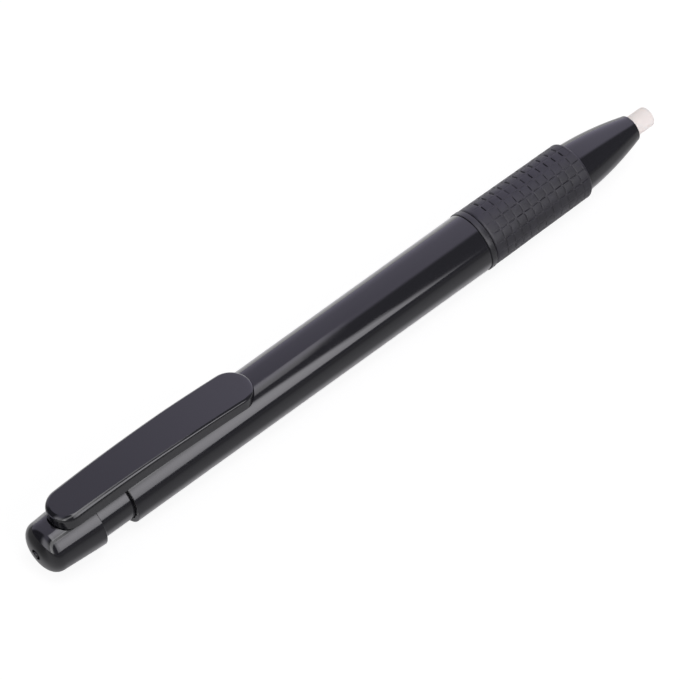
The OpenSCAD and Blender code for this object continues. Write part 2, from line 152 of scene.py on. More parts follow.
class Graph:
    """Short way to build a node tree: each call makes one node and returns it."""

    def __init__(self, tree):
        self.tree = tree
        tree.nodes.clear()

    def node(self, kind, inputs=(), **settings):
        made = self.tree.nodes.new(kind)
        for name, value in settings.items():
            setattr(made, name, value)
        for key, value in dict(inputs).items():
            self.put(made.inputs[key], value)
        return made

    def put(self, socket, value):
        if isinstance(value, bpy.types.NodeSocket):
            self.tree.links.new(value, socket)
        elif isinstance(value, bpy.types.Node):
            self.tree.links.new(value.outputs[0], socket)
        else:
            socket.default_value = value

    def math(self, operation, a, b=0.0):
        return self.node("ShaderNodeMath", {0: a, 1: b}, operation=operation)

    def product(self, first, *others):
        for other in others:
            first = self.math("MULTIPLY", first, other)
        return first

    def axes(self, coordinate):
        """X, Y and Z of a texture coordinate: Object for a place, Generated for a direction."""
        place = self.node("ShaderNodeTexCoord").outputs[coordinate]
        parts = self.node("ShaderNodeSeparateXYZ", {0: place})
        return [parts.outputs[name] for name in "XYZ"]

    def ray_kinds(self):
        """Whether a ray comes from the camera, and whether a glossy surface sent it."""
        path = self.node("ShaderNodeLightPath")
        glossy = self.math("MAXIMUM", path.outputs["Is Glossy Ray"], path.outputs["Is Transmission Ray"])
        return path.outputs["Is Camera Ray"], glossy

    def ramp(self, value, low, high, to_low=0.0, to_high=1.0):
        """Smooth step of value, which goes from to_low to to_high between low and high."""
        return self.node(
            "ShaderNodeMapRange",
            {"Value": value, "From Min": low, "From Max": high, "To Min": to_low, "To Max": to_high},
            interpolation_type="SMOOTHSTEP",
        )

    def mix_color(self, factor, a, b, blend="MIX"):
        made = self.node("ShaderNodeMix", data_type="RGBA", blend_type=blend)
        for index, value in ((0, factor), (6, a), (7, b)):
            self.put(made.inputs[index], value)
        return made.outputs[2]

    def noise(self, place, scale, detail=2.0, stretch=(1, 1, 1)):
        """Noise with features of about 1 / scale metres, stretched along the axes."""
        mapped = self.node("ShaderNodeMapping", {"Vector": place, "Scale": stretch})
        made = self.node("ShaderNodeTexNoise", {"Vector": mapped, "Scale": scale, "Detail": detail})
        return made.outputs["Fac"]


# Tints of the surroundings, as mirror-like reflections show them
SKY_TINT = (1.08, 1.02, 1.30, 1)
NEAR_TINT = (0.24, 0.235, 0.27, 1)
LAMP_TINT = (1.0, 0.985, 1.03, 1)
TABLE_TINT = (0.86, 0.86, 0.86, 1)
WHITE = (1, 1, 1, 1)


def make_world():
    """Surroundings that look white to the camera, and like a studio with its cards in reflections.

    They are bright on the far side, and dim behind the cap and on the camera's side. One card
    behind the pen's rear end and one between the two lamps light the cap. Each ramp runs over a
    share of a direction: x towards the eraser's tip, y away from the camera's side, z upwards.
    """
    world = bpy.data.worlds.new("studio")
    bpy.context.scene.world = world
    world.use_nodes = True
    g = Graph(world.node_tree)
    x, y, z = g.axes("Generated")
    towards_tip = g.ramp(x, 0.20, 0.70, 0.84, 1.40)
    mid_height = g.ramp(z, 0.85, 0.45, 1.0, 0.88)
    behind_cap = g.product(g.ramp(x, -0.25, -0.50), g.ramp(y, 0.05, 0.35))
    open_sky = g.math("SUBTRACT", 1.0, g.product(behind_cap, 0.88))
    horizon = g.ramp(z, 0.22, 0.02, 1.0, 1.2)
    level = g.product(towards_tip, mid_height, open_sky, horizon)
    sky = g.mix_color(1.0, SKY_TINT, level, "MULTIPLY")
    rear_card = g.product(g.ramp(x, -0.55, -0.95, 0.0, 2.0), g.ramp(y, 0.35, 0.05))
    between_lamps = g.product(g.ramp(y, -0.66, -0.62), g.ramp(y, -0.40, -0.44))
    cap_card = g.product(between_lamps, g.ramp(x, 0.27, 0.22, 0.0, 2.8))
    around = g.mix_color(g.ramp(y, -0.30, -0.10), NEAR_TINT, sky)
    seen = g.mix_color(1.0, around, g.math("ADD", rear_card, cap_card), "ADD")
    camera, glossy = g.ray_kinds()
    fill = g.ramp(y, -0.3, 0.6, 0.12, 0.84)
    plain = g.node("ShaderNodeBackground", {"Color": WHITE, "Strength": fill})
    reflected = g.node("ShaderNodeBackground", {"Color": seen, "Strength": 1.0})
    white = g.node("ShaderNodeBackground", {"Color": WHITE, "Strength": 1.0})
    mixed = g.node("ShaderNodeMixShader", {0: glossy, 1: plain, 2: reflected})
    shown = g.node("ShaderNodeMixShader", {0: camera, 1: mixed, 2: white})
    g.node("ShaderNodeOutputWorld", {0: shown})


def make_lamp(name, place, aim, size, radiance, hot_spot, hot_gain, slant=0.0, front_end=2.0):
    """Soft box whose light falls off around a hot spot, given as shares of its width and height.

    It ends at front_end of its width, and that end leans by slant over its height.
    """
    data = bpy.data.lights.new(name, "AREA")
    data.shape = "RECTANGLE"
    data.size, data.size_y = size
    data.energy = radiance * math.pi * size[0] * size[1]
    data.use_nodes = True
    g = Graph(data.node_tree)
    spot = g.node("ShaderNodeNewGeometry").outputs["Parametric"]
    offset = g.node("ShaderNodeVectorMath", {0: spot, 1: (*hot_spot, 0)}, operation="SUBTRACT")
    flat = g.node("ShaderNodeVectorMath", {0: offset, 1: (1, 1, 0)}, operation="MULTIPLY")
    away = g.node("ShaderNodeVectorMath", {0: flat}, operation="LENGTH").outputs["Value"]
    falloff = g.ramp(away, 0.05, 0.75, 1 + hot_gain, 1.0)
    shares = g.node("ShaderNodeSeparateXYZ", {0: spot})
    leaned = g.math("ADD", shares.outputs["X"], g.product(shares.outputs["Y"], slant))
    blur = 0.06
    inside = g.ramp(leaned, front_end - blur, front_end + blur, 1.0, 0.0)
    glow = g.node("ShaderNodeEmission", {"Color": LAMP_TINT, "Strength": g.product(falloff, inside)})
    g.node("ShaderNodeOutputLight", {0: glow})
    lamp = add_object(name, data)
    lamp.location = place
    lamp.rotation_mode = "QUATERNION"
    lamp.rotation_quaternion = (Vector(aim) - Vector(place)).to_track_quat("-Z", "Y")
    lamp.visible_camera = False


def make_lights():
    """One soft box overhead and one beside the pen, which draw its two long highlights."""
    make_lamp(
        "overhead_box",
        place=(0.045, -0.16, 0.6),
        aim=(0.045, -0.16, 0),
        size=(0.39, 0.32),
        radiance=2.0,
        hot_spot=(0.34, 0.5),
        hot_gain=1.2,
    )
    make_lamp(
        "side_box",
        place=(0.05, -0.4, 0.29),
        aim=(0.05, 0, 0.29),
        size=(0.42, 0.44),
        radiance=2.2,
        hot_spot=(0.7, 0.4),
        hot_gain=1.2,
        slant=0.25,
        front_end=0.96,
    )


def table_in_reflections(g):
    """Painted brightness of the table in mirror-like reflections: what the pen's sides pick up from it.

    It is painted brighter from the camera's side to the far side, with a painted strip of light along
    the barrel, and painted shade behind the cap. The ramps run over places on the table, in metres.
    """
    x, y = g.axes("Object")[:2]
    near_edge = g.ramp(y, -0.055, -0.006, 0.28, 0.80)
    from_cap = g.ramp(x, -0.072, -0.050)
    to_nose = g.ramp(x, 0.070, 0.046, 0.08, 0.70)
    # painted light: a bright strip on the table along the pen's near side
    beside_pen = g.product(from_cap, to_nose, g.ramp(y, -0.0090, -0.0055))
    far_edge = g.ramp(y, 0.006, 0.03, 0.0, 0.26)
    far_field = g.product(g.ramp(y, 0.02, 0.09), g.ramp(x, 0.05, 0.09, 0.30, 0.75))
    table = g.math("ADD", near_edge, beside_pen)
    for strip in (far_edge, far_field):
        table = g.math("ADD", table, strip)
    # painted shade on the table behind the cap
    behind_cap = g.product(g.ramp(x, -0.068, -0.076, 0.0, 0.7), g.ramp(y, -0.006, 0.004))
    return g.product(table, g.math("SUBTRACT", 1.1, behind_cap))


def make_floor():
    """Pale table top that shows white to the camera and still takes the pen's shadow."""
    mesh = bpy.data.meshes.new("floor")
    half = 4.0
    corners = [(-half, -half, 0), (half, -half, 0), (half, half, 0), (-half, half, 0)]
    mesh.from_pydata(corners, [], [(0, 1, 2, 3)])
    floor = add_object("floor", mesh)
    material = bpy.data.materials.new("pale_table")
    material.use_nodes = True
    g = Graph(material.node_tree)
    camera, glossy = g.ray_kinds()
    # reflections see the table's tint under the painted light and shade of table_in_reflections
    reflected = g.mix_color(1.0, TABLE_TINT, table_in_reflections(g), "MULTIPLY")
    lit = g.node("ShaderNodeBsdfDiffuse", {"Color": g.mix_color(glossy, TABLE_TINT, reflected)})
    white = g.node("ShaderNodeEmission", {"Color": WHITE, "Strength": 1.10})
    mixed = g.node("ShaderNodeMixShader", {0: g.product(camera, 0.80), 1: lit, 2: white})
    g.node("ShaderNodeOutputMaterial", {0: mixed})
    mesh.materials.append(material)


def new_material(name):
    """A material's node graph and the place that its textures follow, in the piece's own frame."""
    material = bpy.data.materials.new(name)
    material.use_nodes = True
    g = Graph(material.node_tree)
    return material, g, g.node("ShaderNodeTexCoord").outputs["Object"]


def finish_material(material, g, sockets, bumps=()):
    """Principled surface with up to a few layers of bump, each (height, strength, depth in metres)."""
    normal = None
    for height, strength, depth in bumps:
        inputs = {"Height": height, "Strength": strength, "Distance": depth}
        if normal is not None:
            inputs["Normal"] = normal
        normal = g.node("ShaderNodeBump", inputs).outputs[0]
    if normal is not None:
        sockets = {**sockets, "Normal": normal}
    g.node("ShaderNodeOutputMaterial", {0: g.node("ShaderNodeBsdfPrincipled", sockets)})
    return material


def moulded_gloss(name, color, rough_low, rough_high):
    """Glossy moulded plastic: slow waves in the skin, handling haze and hair-fine lengthwise marks."""
    material, g, place = new_material(name)
    haze = g.noise(place, 140, 4.0)
    hairs = g.noise(place, 900, 2.0, (0.06, 1, 1))
    marks = g.ramp(hairs, 0.66, 0.74)
    rough = g.ramp(haze, 0.35, 0.7, rough_low, rough_high)
    rough = g.math("ADD", rough, g.product(marks, 0.06))
    pigment = g.mix_color(g.noise(place, 60, 2.0), tuple(0.9 * c for c in color) + (1,), (*color, 1))
    waves = g.noise(place, 120, 1.0)
    sockets = {"Base Color": pigment, "Roughness": rough}
    return finish_material(material, g, sockets, [(waves, 0.06, 0.0002), (hairs, 0.015, 0.00005)])


def moulded_rubber(name, color):
    """Matte rubber with a fine grain, dust-grey where the pads are rubbed, and painted shade that darkens
    the slits.
    """
    material, g, place = new_material(name)
    grain = g.noise(place, 5200, 3.0)
    cloud = g.noise(place, 420, 3.0)
    specks = g.ramp(grain, 0.35, 0.7, 0.70, 1.45)
    worn = g.product(g.ramp(cloud, 0.35, 0.7, 0.80, 1.20), specks)
    # the slits' depth, used here as a mask of painted shade
    depth = g.node("ShaderNodeAttribute", attribute_name="slit_depth").outputs["Fac"]
    lit = g.mix_color(1.0, (*color, 1), worn, "MULTIPLY")
    # painted shade: the colour darkens towards black with the slits' depth
    shade = g.mix_color(g.product(depth, 0.85), lit, (0.003, 0.003, 0.004, 1))
    rough = g.ramp(grain, 0.3, 0.7, 0.42, 0.58)
    sockets = {"Base Color": shade, "Roughness": rough}
    return finish_material(material, g, sockets, [(cloud, 0.35, 0.00006), (grain, 0.60, 0.00003)])


def vinyl_eraser():
    """Soft white vinyl with a fine grain, faint warm clouds and a little graphite on its rubbed end."""
    material, g, place = new_material("white_vinyl")
    cloud = g.noise(place, 500, 3.0)
    grain = g.noise(place, 7000, 2.0)
    tint = g.mix_color(cloud, (0.775, 0.715, 0.677, 1), (0.80, 0.75, 0.715, 1))
    along = g.axes("Object")[0]
    at_tip = g.ramp(along, (TIP - 0.9) * MM, (TIP + 0.1) * MM)
    streaks = g.ramp(g.noise(place, 1500, 3.0, (1, 0.4, 1)), 0.52, 0.75)
    smudge = g.product(at_tip, streaks, 0.22)
    stained = g.mix_color(smudge, tint, (0.36, 0.35, 0.36, 1))
    sockets = {
        "Base Color": stained,
        "Roughness": 0.62,
        "Subsurface Weight": 0.12,
        "Subsurface Radius": (0.0009, 0.0007, 0.0006),
        "Subsurface Scale": 1.0,
    }
    return finish_material(material, g, sockets, [(cloud, 0.15, 0.00008), (grain, 0.25, 0.00002)])


def natural_plastic(name, color, roughness):
    """Plain moulded plastic of the inner pieces, slightly uneven in tone and sheen."""
    material, g, place = new_material(name)
    cloud = g.noise(place, 260, 3.0)
    fine = g.noise(place, 2600, 2.0)
    tint = g.mix_color(cloud, tuple(0.92 * c for c in color) + (1,), (*color, 1))
    rough = g.ramp(fine, 0.3, 0.7, roughness - 0.06, roughness + 0.08)
    return finish_material(material, g, {"Base Color": tint, "Roughness": rough}, [(fine, 0.12, 0.00003)])


def turned_metal(name, color, roughness, pitch):
    """Bright metal with fine turning or drawing marks that run round the pen's axis."""
    material, g, place = new_material(name)
    rings = g.node(
        "ShaderNodeTexWave",
        {"Vector": place, "Scale": 1 / pitch, "Distortion": 1.5, "Detail": 2.0},
        bands_direction="X",
    ).outputs["Fac"]
    cloud = g.noise(place, 700, 3.0)
    tint = g.mix_color(cloud, tuple(0.82 * c for c in color) + (1,), (*color, 1))
    rough = g.ramp(rings, 0.0, 1.0, roughness, roughness + 0.12)
    sockets = {"Base Color": tint, "Metallic": 1.0, "Roughness": rough}
    return finish_material(material, g, sockets, [(rings, 0.2, 0.00001)])


def make_materials():
    """One material for each slot that the record names."""
    return {
        "black_plastic": moulded_gloss("black_gloss", (0.0085, 0.0085, 0.0105), 0.085, 0.13),
        "collar_plastic": moulded_gloss("collar_gloss", (0.009, 0.009, 0.011), 0.36, 0.44),
        "grip_rubber": moulded_rubber("grip_rubber", (0.0085, 0.0078, 0.0118)),
        "eraser": vinyl_eraser(),
        "core_plastic": natural_plastic("core_plastic", (0.012, 0.012, 0.013), 0.45),
        "white_plastic": natural_plastic("natural_acetal", (0.74, 0.74, 0.70), 0.38),
        "spring_steel": turned_metal("spring_steel", (0.60, 0.60, 0.62), 0.22, 0.00025),
        "ring_brass": turned_metal("ring_brass", (0.78, 0.58, 0.26), 0.20, 0.0004),
        "brake_rubber": natural_plastic("brake_rubber", (0.03, 0.03, 0.032), 0.7),
    }


def dress_nodes(materials):
    """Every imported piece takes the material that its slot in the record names."""
    for part in frame["record"]["subparts"]:
        mesh = NODES[part["node"]].data
        mesh.materials.clear()
        mesh.materials.append(materials[part["material_slot"]])


def new_mesh(name, points, faces):
    """Mesh in the part's frame, from points in millimetres from the pen's axis."""
    mesh = bpy.data.meshes.new(name)
    mesh.from_pydata([(x * MM, y * MM, AXIS_Z + z * MM) for x, y, z in points], [], faces)
    return mesh


# Edges of a piece that turn by more than this are shaded as sharp edges
SHARP = math.radians(35)


def make_piece(name, points, faces, node, materials, attribute=None, sharp=SHARP):
    """A piece that stands for one CAD node: it rides on that node's body and takes its slot."""
    mesh = new_mesh(name, points, faces)
    mesh.validate()
    if attribute is not None:
        label, values = attribute
        layer = mesh.attributes.new(label, "FLOAT", "POINT")
        layer.data.foreach_set("value", values)
    mesh.shade_smooth()
    mesh.set_sharp_from_angle(angle=sharp)
    part = next(p for p in frame["record"]["subparts"] if p["node"] == node)
    mesh.materials.append(materials[part["material_slot"]])
    piece = add_object(name, mesh)
    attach(piece, NODES[node]["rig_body"])
    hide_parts(node)
    return piece


def evenly(start, end, steps):
    """Even places from start to end, both included."""
    return [start + (end - start) * i / steps for i in range(steps + 1)]


def smooth_step(value, low, high):
    """0 up to low, 1 from high on, and a smooth rise between them."""
    t = min(1.0, max(0.0, (value - low) / (high - low)))
    return t * t * (3 - 2 * t)


def rounded(corners, steps=6):
    """Closed outline through corners (x, r, fillet), with an arc of that radius at each corner."""
    path = []
    count = len(corners)
    for i, (x, r, fillet) in enumerate(corners):
        here = Vector((x, r))
        if fillet == 0:
            path.append((x, r))
            continue
        to_last = (Vector(corners[i - 1][:2]) - here).normalized()
        to_next = (Vector(corners[(i + 1) % count][:2]) - here).normalized()
        half_turn = (math.pi - to_last.angle(to_next)) / 2
        reach = fillet * math.tan(half_turn)
        middle = here + (to_last + to_next).normalized() * (fillet / math.cos(half_turn))
        start = here + to_last * reach - middle
        swing = 2 * half_turn
        side = -1 if to_last.x * to_next.y - to_last.y * to_next.x > 0 else 1
        for k in range(steps + 1):
            turn = Matrix.Rotation(side * swing * k / steps, 2)
            path.append(tuple(middle + turn @ start))
    return path


def arc(x, r, radius, start, end, steps):
    """Points of an arc about (x, r), between two angles that grow from the pen's direction outwards."""
    turns = evenly(start, end, steps)
    return [(x + radius * math.cos(a), r + radius * math.sin(a)) for a in turns]


def add_face(faces, *corners):
    """Adds a face without the corners that fall together, if three or more are left."""
    kept = tuple(dict.fromkeys(corners))
    if len(kept) > 2:
        faces.append(kept)


def join_rings(rings):
    """Faces between neighbouring rings, and between the last ring and the first."""
    faces = []
    columns = len(rings[0])
    for a, b in zip(rings, rings[1:] + rings[:1]):
        for j in range(columns):
            k = (j + 1) % columns
            add_face(faces, a[j], a[k], b[k], b[j])
    return faces


def lathe(outline, segments=192, shift=None):
    """Solid of revolution about the pen's axis, from a closed outline of points (x, r).

    A point of the outline with r = 0 becomes one point on the axis. shift(x, r, angle) may
    return another radius, and the angle runs from the top of the pen to the near side.
    """
    points = []
    rings = []
    for x, r in outline:
        if r < 1e-6:
            rings.append([len(points)] * segments)
            points.append((x, 0.0, 0.0))
            continue
        rings.append(list(range(len(points), len(points) + segments)))
        for j in range(segments):
            a = 2 * math.pi * j / segments
            here = shift(x, r, a) if shift else r
            points.append((x, -here * math.sin(a), here * math.cos(a)))
    return points, join_rings(rings)


def make_barrel(materials):
    bore = PLUNGER_R + 0.1
    outline = rounded(
        [
            (BARREL_REAR, bore, 0.06),
            (BARREL_REAR, BARREL_REAR_R, 0.17),
            (BARREL_FRONT, BARREL_FRONT_R, 0.16),
            (BARREL_FRONT, bore, 0.0),
        ]
    )
    points, faces = lathe(outline, 256)
    make_piece("barrel", points, faces, "barrel_tube", materials)


def make_collar(materials):
    bore = CORE_R + 0.02
    groove_x = COLLAR_FRONT - 0.2
    groove_r = COLLAR_R - 0.4
    outline = rounded(
        [
            (COLLAR_REAR, bore, 0.0),
            (COLLAR_REAR, COLLAR_R, 0.10),
            (groove_x, COLLAR_R, 0.12),
            (groove_x, groove_r, 0.0),
            (COLLAR_FRONT, groove_r, 0.0),
            (COLLAR_FRONT, bore, 0.0),
        ]
    )
    points, faces = lathe(outline, 256)
    make_piece("collar", points, faces, "collar_ring", materials)


# Nose: how far its outline bows out beside a straight line, its rim, its bore and its thread. The
# clutch ring's travel ends just behind RING_STOP.
NOSE_BOW = 0.38
NOSE_RIM_R = 2.43
RIM_ROUND = 0.34
NOSE_BORE_R = ERASER_R + 0.05
GUIDE_LEN = 3.4
NECK_BORE_R = 3.15
RING_STOP = ends("clutch_ring")[1] + 2.85
BRAKE_FRONT = ends("eraser_brake")[1]
BRAKE_R = radius_at("eraser_brake", BRAKE_FRONT)
THREAD_PITCH = 1.0
THREAD_DEPTH = 0.3
THREAD_STEP = 0.1


def nose_radius(x):
    s = (x - GRIP_FRONT) / (RIM - GRIP_FRONT)
    return NOSE_BASE_R + (NOSE_RIM_R - NOSE_BASE_R) * s + 4 * NOSE_BOW * s * (1 - s)


def thread_radius(x, r, angle):
    """Radius of the neck's thread, whose groove climbs one pitch in each turn."""
    if r != NECK_R:
        return r
    fade = smooth_step(x, NECK_REAR, NECK_REAR + 0.8) * smooth_step(GRIP_FRONT - x, 0.2, 1.0)
    phase = (x / THREAD_PITCH - angle / (2 * math.pi)) % 1.0
    groove = 1 - smooth_step(abs(phase - 0.5), 0.12, 0.42)
    return NECK_R - THREAD_DEPTH * groove * fade


def make_nose(materials):
    """Curved cone with its rounded rim, its threaded neck, and its bore with the room for the brake."""
    neck_steps = round((GRIP_FRONT - NECK_REAR) / THREAD_STEP)
    neck = [(x, NECK_R) for x in evenly(NECK_REAR, GRIP_FRONT, neck_steps)]
    side_front = RIM - RIM_ROUND
    side = [(x, nose_radius(x)) for x in evenly(GRIP_FRONT, side_front, 40)]
    rim_start = math.radians(80)
    middle_r = nose_radius(side_front) - RIM_ROUND * math.sin(rim_start)
    edge = arc(side_front, middle_r, RIM_ROUND, rim_start, 0, 8)[1:]
    inside = rounded(
        [
            (RIM - 0.02, NOSE_BORE_R, 0.06),
            (RIM - GUIDE_LEN, NOSE_BORE_R, 0.0),
            (BRAKE_FRONT + 0.05, BRAKE_R - 0.5, 0.0),
            (BRAKE_FRONT + 0.05, BRAKE_R + 0.02, 0.0),
            (RING_STOP, BRAKE_R + 0.02, 0.0),
            (RING_STOP, NECK_BORE_R, 0.0),
        ]
    )
    outline = [(NECK_REAR, NECK_BORE_R)] + neck + side + edge + inside
    points, faces = lathe(outline, 192, thread_radius)
    make_piece("nose", points, faces, "nose_cone", materials)


def make_eraser(materials):
    """Round stick whose used end is softly domed and slightly uneven."""
    edge = 0.5
    dome = 0.07
    worn_len = 1.6
    flat_r = ERASER_R - edge
    side_front = TIP - dome - edge
    rear_round = 0.25
    outline = [(ERASER_REAR, 0.0)]
    outline += arc(ERASER_REAR + rear_round, ERASER_R - rear_round, rear_round, math.pi, math.pi / 2, 6)
    outline += [(x, ERASER_R) for x in evenly(TIP - 6, side_front, 8)]
    outline += arc(side_front, flat_r, edge, math.pi / 2, 0, 9)[1:]
    outline += [(TIP - dome * (r / flat_r) ** 2, r) for r in evenly(flat_r, 0, 5)[1:]]

    def worn(x, r, angle):
        """Radius with the small unevenness that rubbing leaves near the tip."""
        where = Vector((x * 0.8, r * math.sin(angle) * 0.9, r * math.cos(angle) * 0.9))
        rub = smooth_step(x, TIP - worn_len, TIP)
        return r * (1 - 0.02 * rub * (0.6 + noise.noise(where)))

    points, faces = lathe(outline, 128, worn)
    make_piece("eraser_tip_and_stick", points, faces, "eraser_stick", materials)


# Rubber grip: pads round it, the slits that part their rows, and how deep and open the slits are
PAD_COUNT = 18
PAD_TURN = math.radians(5.5)
PAD_PITCH = 1.78
SLIT_COUNT = 11
LAST_SLIT = GRIP_FRONT - 2.1
FIRST_SLIT = LAST_SLIT - (SLIT_COUNT - 1) * PAD_PITCH
SLIT_HALF = 0.10
SLIT_DEPTH = 0.20
SLIT_OPEN_AT = math.radians(-30)
SIDE_SLIT_OPEN_AT = math.radians(50)
SLIT_REACH = 0.60
SLIT_FADE = 0.14
PAD_CROWN = 0.022
PAD_SHARP = math.radians(50)
GRIP_REAR_EDGE = 0.14
GRIP_SIDE_FRONT = GRIP_FRONT - GRIP_ROUND


def nearest(value, first, last, pitch):
    """The place in an even row from first to last that lies closest to value."""
    k = round((value - first) / pitch)
    k = min(max(k, 0), round((last - first) / pitch))
    return first + k * pitch


def slit_section(distance, half):
    """1 in the middle of a slit and 0 at its edge, half its width away."""
    return 1 - smooth_step(distance, 0.3 * half, half)


def slit_length(distance, reach):
    """1 along a slit and 0 beyond its end, where the lands begin."""
    return 1 - smooth_step(distance, reach, reach + SLIT_FADE)


def slit_depth(x, angle):
    """Share of full depth of the slits at a place on the grip, and the pad's crown there.

    The slits between rows are widest and deepest about SLIT_OPEN_AT and across from it, and the
    slits along the pen are deepest about SIDE_SLIT_OPEN_AT and across from it.
    """
    step = 2 * math.pi / PAD_COUNT
    turned = (angle - PAD_TURN) / step
    across = (turned - math.floor(turned) - 0.5) * step * GRIP_REAR_R
    half_pad = step * GRIP_REAR_R / 2
    row_middle = nearest(x, FIRST_SLIT - PAD_PITCH / 2, LAST_SLIT + PAD_PITCH / 2, PAD_PITCH)
    from_row_slit = abs(x - nearest(x, FIRST_SLIT, LAST_SLIT, PAD_PITCH))
    from_side_slit = half_pad - abs(across)
    reach = SLIT_REACH + 0.08 * noise.noise(Vector((x * 0.9, angle * 6, 3.0)))
    opening = math.cos(angle - SLIT_OPEN_AT) ** 4
    side_opening = math.cos(angle - SIDE_SLIT_OPEN_AT) ** 4
    half = SLIT_HALF * (0.80 + 1.1 * opening)
    row_slit = slit_section(from_row_slit, half) * slit_length(abs(across), reach)
    side_slit = slit_section(from_side_slit, SLIT_HALF) * slit_length(abs(x - row_middle), reach)
    worn = 0.85 + 0.75 * noise.noise(Vector((x * 0.35, angle * 2.2, 7.0)))
    row_slit = min(1.0, row_slit * worn * (0.45 + 0.9 * opening))
    side_slit *= min(1.0, worn) * (0.2 + 0.5 * side_opening)
    crown = (1 - (across / half_pad) ** 2) * (1 - min(1, 1 - from_row_slit / (PAD_PITCH / 2)) ** 2)
    return max(row_slit, side_slit), crown


def ladder(half):
    """Distances from a slit to the middle of a pad: close together at the slit and at its ends."""
    return [0, 0.05, 0.10, 0.15, 0.25, 0.33, 0.42, 0.62, half]


def grip_angles():
    """Places round the grip, close together at the slits that run along the pen."""
    half_pad = math.pi * GRIP_REAR_R / PAD_COUNT
    angles = []
    for k in range(PAD_COUNT):
        for d in ladder(half_pad)[:-1]:
            angles.append(PAD_TURN + (k * 2 * half_pad + d) / GRIP_REAR_R)
        for d in reversed(ladder(half_pad)[1:]):
            angles.append(PAD_TURN + ((k + 1) * 2 * half_pad - d) / GRIP_REAR_R)
    return angles


def grip_stations():
    """Places along the grip's padded side, close together at the slits between the rows."""
    half_row = PAD_PITCH / 2
    stations = [GRIP_REAR + d for d in (0.05, 0.12, 0.3, 0.5)]
    for slit in evenly(FIRST_SLIT, LAST_SLIT, SLIT_COUNT - 1):
        stations += [slit - d for d in reversed(ladder(half_row)[1:])]
        stations += [slit + d for d in ladder(half_row)[:-1]]
    stations += [LAST_SLIT + half_row + d for d in (0, 0.2, 0.45, 0.58, 0.7)]
    return sorted(x for x in stations if x < GRIP_SIDE_FRONT)


def padded_radius(x, angle):
    """Radius of the grip's padded side at a place, and the depth of the slits there."""
    share = (x - GRIP_REAR) / (GRIP_SIDE_FRONT - GRIP_REAR)
    radius = GRIP_REAR_R + (GRIP_FRONT_R - GRIP_REAR_R) * share
    radius -= GRIP_REAR_EDGE * (1 - smooth_step(x - GRIP_REAR, 0, 0.25)) ** 2
    depth, crown = slit_depth(x, angle)
    lump = noise.noise(0.55 * Vector((x, radius * math.sin(angle), radius * math.cos(angle))))
    return radius + PAD_CROWN * (crown - 1) + 0.02 * lump - SLIT_DEPTH * depth, depth


def make_grip(materials):
    """Sleeve with a padded side, where an outline's point without a radius stands for that side."""
    bore = CORE_R + 0.02
    outline = [(GRIP_REAR, bore), (GRIP_REAR, GRIP_REAR_R - GRIP_REAR_EDGE)]
    outline += [(x, None) for x in grip_stations()]
    outline += arc(GRIP_SIDE_FRONT, GRIP_FRONT_R - GRIP_ROUND, GRIP_ROUND, math.pi / 2, 0, 8)
    outline.append((GRIP_FRONT, bore))
    angles = grip_angles()
    points, depths, rings = [], [], []
    for x, r in outline:
        rings.append(list(range(len(points), len(points) + len(angles))))
        for a in angles:
            here, depth = padded_radius(x, a) if r is None else (r, 0.0)
            points.append((x, -here * math.sin(a), here * math.cos(a)))
            depths.append(depth)
    # the slits' depth goes with the mesh, where the rubber turns it into painted shade
    slits = ("slit_depth", depths)
    make_piece("grip_sleeve", points, join_rings(rings), "rubber_grip", materials, slits, PAD_SHARP)


def boolean(piece, points, faces, operation):
    """Joins a solid to the piece, or cuts it away from it."""
    tool = add_object("tool", new_mesh("tool", points, faces))
    modifier = piece.modifiers.new("join", "BOOLEAN")
    modifier.operation = operation
    modifier.solver = "EXACT"
    modifier.object = tool
    graph = bpy.context.evaluated_depsgraph_get()
    done = bpy.data.meshes.new_from_object(piece.evaluated_get(graph))
    piece.modifiers.clear()
    old = piece.data
    piece.data = done
    done.name = old.name + "_done"
    bpy.data.meshes.remove(old)
    tool_mesh = tool.data
    bpy.data.objects.remove(tool)
    bpy.data.meshes.remove(tool_mesh)


def prism(plan, low, high):
    """Upright solid over a plan of points (x, y), counter-clockwise."""
    count = len(plan)
    points = [(x, y, low) for x, y in plan] + [(x, y, high) for x, y in plan]
    faces = [tuple(range(count - 1, -1, -1)), tuple(range(count, 2 * count))]
    for i in range(count):
        k = (i + 1) % count
        faces.append((i, k, k + count, i + count))
    return points, faces


def obround(middle, half, front, steps=24):
    """Plan with a round rear end of radius half about x = middle, straight sides and a square front."""
    plan = [(front, half)]
    for i in range(steps + 1):
        a = math.radians(90 + 180 * i / steps)
        plan.append((middle + half * math.cos(a), half * math.sin(a)))
    plan.append((front, -half))
    return plan


# Push cap: its domed end, the recess with its nub, the notch for the clip, and its bore, which is
# wide from CAP_STEP to the rim and narrow from there to CAP_FLOOR
DOME_LEN = 3.2
DOME_POWER = 2.5
CAP_END_R = 4.7
CAP_EDGE = 0.14
NUB_OUT = 0.25
NUB_R = 0.55
RECESS_R = 0.95
RECESS_DEPTH = 0.55
NOTCH_HALF = 2.54
NOTCH_LEN = 7.15
NOTCH_X = CAP_RIM - NOTCH_LEN + NOTCH_HALF
CAP_FLOOR = CAP_REAR + 2.3
CAP_STEP = CAP_RIM - 1.55
CAP_ROOM = 0.05
SPIGOT_R = 3.9


